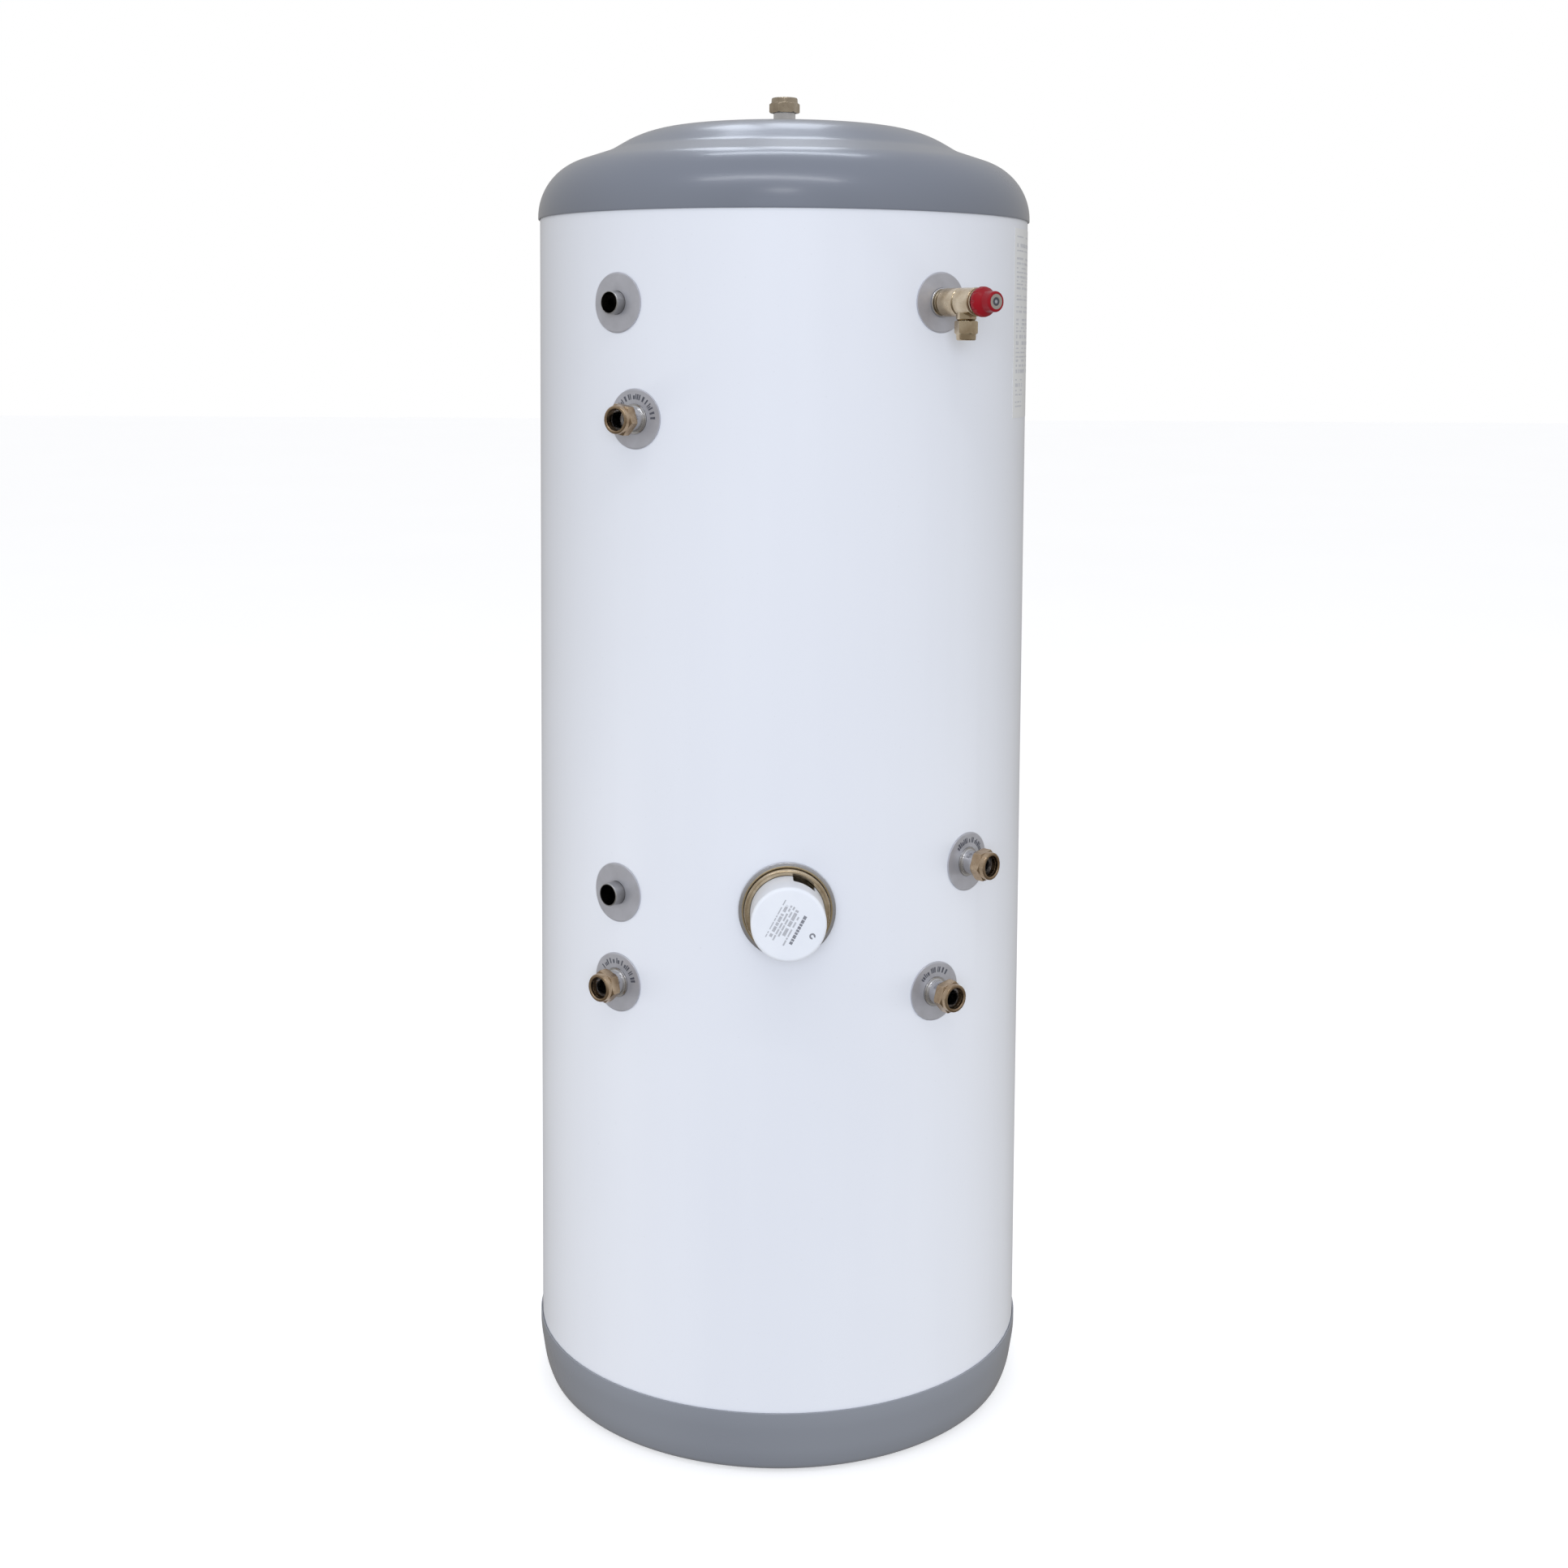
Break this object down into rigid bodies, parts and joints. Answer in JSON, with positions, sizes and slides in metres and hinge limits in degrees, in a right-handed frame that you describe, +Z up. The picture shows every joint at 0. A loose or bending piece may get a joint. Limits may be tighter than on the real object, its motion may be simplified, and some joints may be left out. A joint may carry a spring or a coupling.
{
  "type": "tank water heater",
  "caption": "Free-standing indirect hot water cylinder with insulated white casing, domed grey lids, compression pipe fittings, relief valve and immersion heater.",
  "frame": {"origin": "middle of the flat base, on the floor", "axes": "+Z up along the tank's axis, -Y towards the immersion heater"},
  "size_m": [0.554, 0.61, 1.468],
  "materials": {
    "casing_paint": "satin",
    "lid_plastic": "gloss",
    "label_paper": "matte",
    "foam": "matte",
    "base_foam": "matte",
    "support_steel": "matte",
    "stainless": "satin",
    "bright_stainless": "bright",
    "brass": "machined",
    "escutcheon_plastic": "satin",
    "trim_plastic": "satin",
    "red_plastic": "gloss",
    "badge_plastic": "satin",
    "spring_steel": "bright",
    "seal_rubber": "matte",
    "fibre_washer": "matte",
    "element_sheath": "matte",
    "stat_plastic": "matte",
    "dial_plastic": "satin",
    "button_plastic": "gloss",
    "cover_plastic": "satin"
  },
  "bodies": {
    "cylinder": {"outer_casing": "casing_paint", "top_lid": "lid_plastic", "base_lid": "lid_plastic", "data_label": "label_paper", "foam_insulation": "foam", "base_insulation": "base_foam", "support_ring": "support_steel", "tank_shell": "stainless", "tank_top_dome": "stainless", "tank_base_dome": "stainless", "heating_coil": "stainless", "cold_dip_pipe": "stainless", "hot_outlet_boss": "bright_stainless", "hot_outlet_nut": "brass", "olives_22mm": "brass", "relief_boss": "bright_stainless", "relief_escutcheon": "escutcheon_plastic", "relief_valve_body": "brass", "relief_drain_nut": "brass", "relief_drain_olive": "brass", "relief_probe": "brass", "relief_bonnet": "brass", "relief_spring": "spring_steel", "immersion_boss": "stainless", "immersion_gasket": "fibre_washer", "immersion_head": "brass", "immersion_elements": "element_sheath", "thermostat_pocket": "element_sheath", "heater_thermostat": "stat_plastic", "heater_terminals": "brass", "immersion_escutcheon": "trim_plastic", "secondary_return_boss": "bright_stainless", "secondary_return_nut": "brass", "secondary_return_escutcheon": "escutcheon_plastic", "primary_flow_boss": "bright_stainless", "primary_flow_nut": "brass", "primary_flow_escutcheon": "escutcheon_plastic", "primary_return_boss": "bright_stainless", "primary_return_nut": "brass", "primary_return_escutcheon": "escutcheon_plastic", "cold_inlet_boss": "bright_stainless", "cold_inlet_nut": "brass", "cold_inlet_escutcheon": "escutcheon_plastic", "upper_sensor_pocket": "bright_stainless", "upper_pocket_escutcheon": "escutcheon_plastic", "lower_sensor_pocket": "bright_stainless", "lower_pocket_escutcheon": "escutcheon_plastic"},
    "relief_cap": {"relief_cap": "red_plastic", "relief_cap_badge": "badge_plastic"},
    "relief_stem": {"relief_stem": "brass", "relief_seal": "seal_rubber"},
    "heater_cover": {"immersion_cover": "cover_plastic"},
    "thermostat_dial": {"thermostat_dial": "dial_plastic"},
    "reset_button": {"reset_button": "button_plastic"}
  },
  "joints": [
    {"name": "relief_cap_turn", "type": "hinge", "parent": "cylinder", "child": "relief_cap", "pos_m": [0.19404, -0.27919, 1.235], "axis": [0.5707, -0.8211, 0], "range_deg": [0, 90]},
    {"name": "relief_stem_lift", "type": "slide", "parent": "cylinder", "child": "relief_stem", "axis": [0.5707, -0.8211, 0], "range_m": [0, 0.002], "deforming": ["relief_spring"]},
    {"name": "heater_cover_off", "type": "slide", "parent": "cylinder", "child": "heater_cover", "axis": [0, -1, 0], "range_m": [0, 0.08]},
    {"name": "thermostat_dial_turn", "type": "hinge", "parent": "cylinder", "child": "thermostat_dial", "pos_m": [-0.006, -0.309, 0.6255], "axis": [0, -1, 0], "range_deg": [0, 270]},
    {"name": "reset_button_press", "type": "slide", "parent": "cylinder", "child": "reset_button", "axis": [0, 1, 0], "range_m": [0, 0.002], "stiffness_N_per_m": 300}
  ],
  "couplings": [
    {"joint": "relief_stem_lift", "follows": "relief_cap_turn", "m_per_rad": 0.00127}
  ]
}
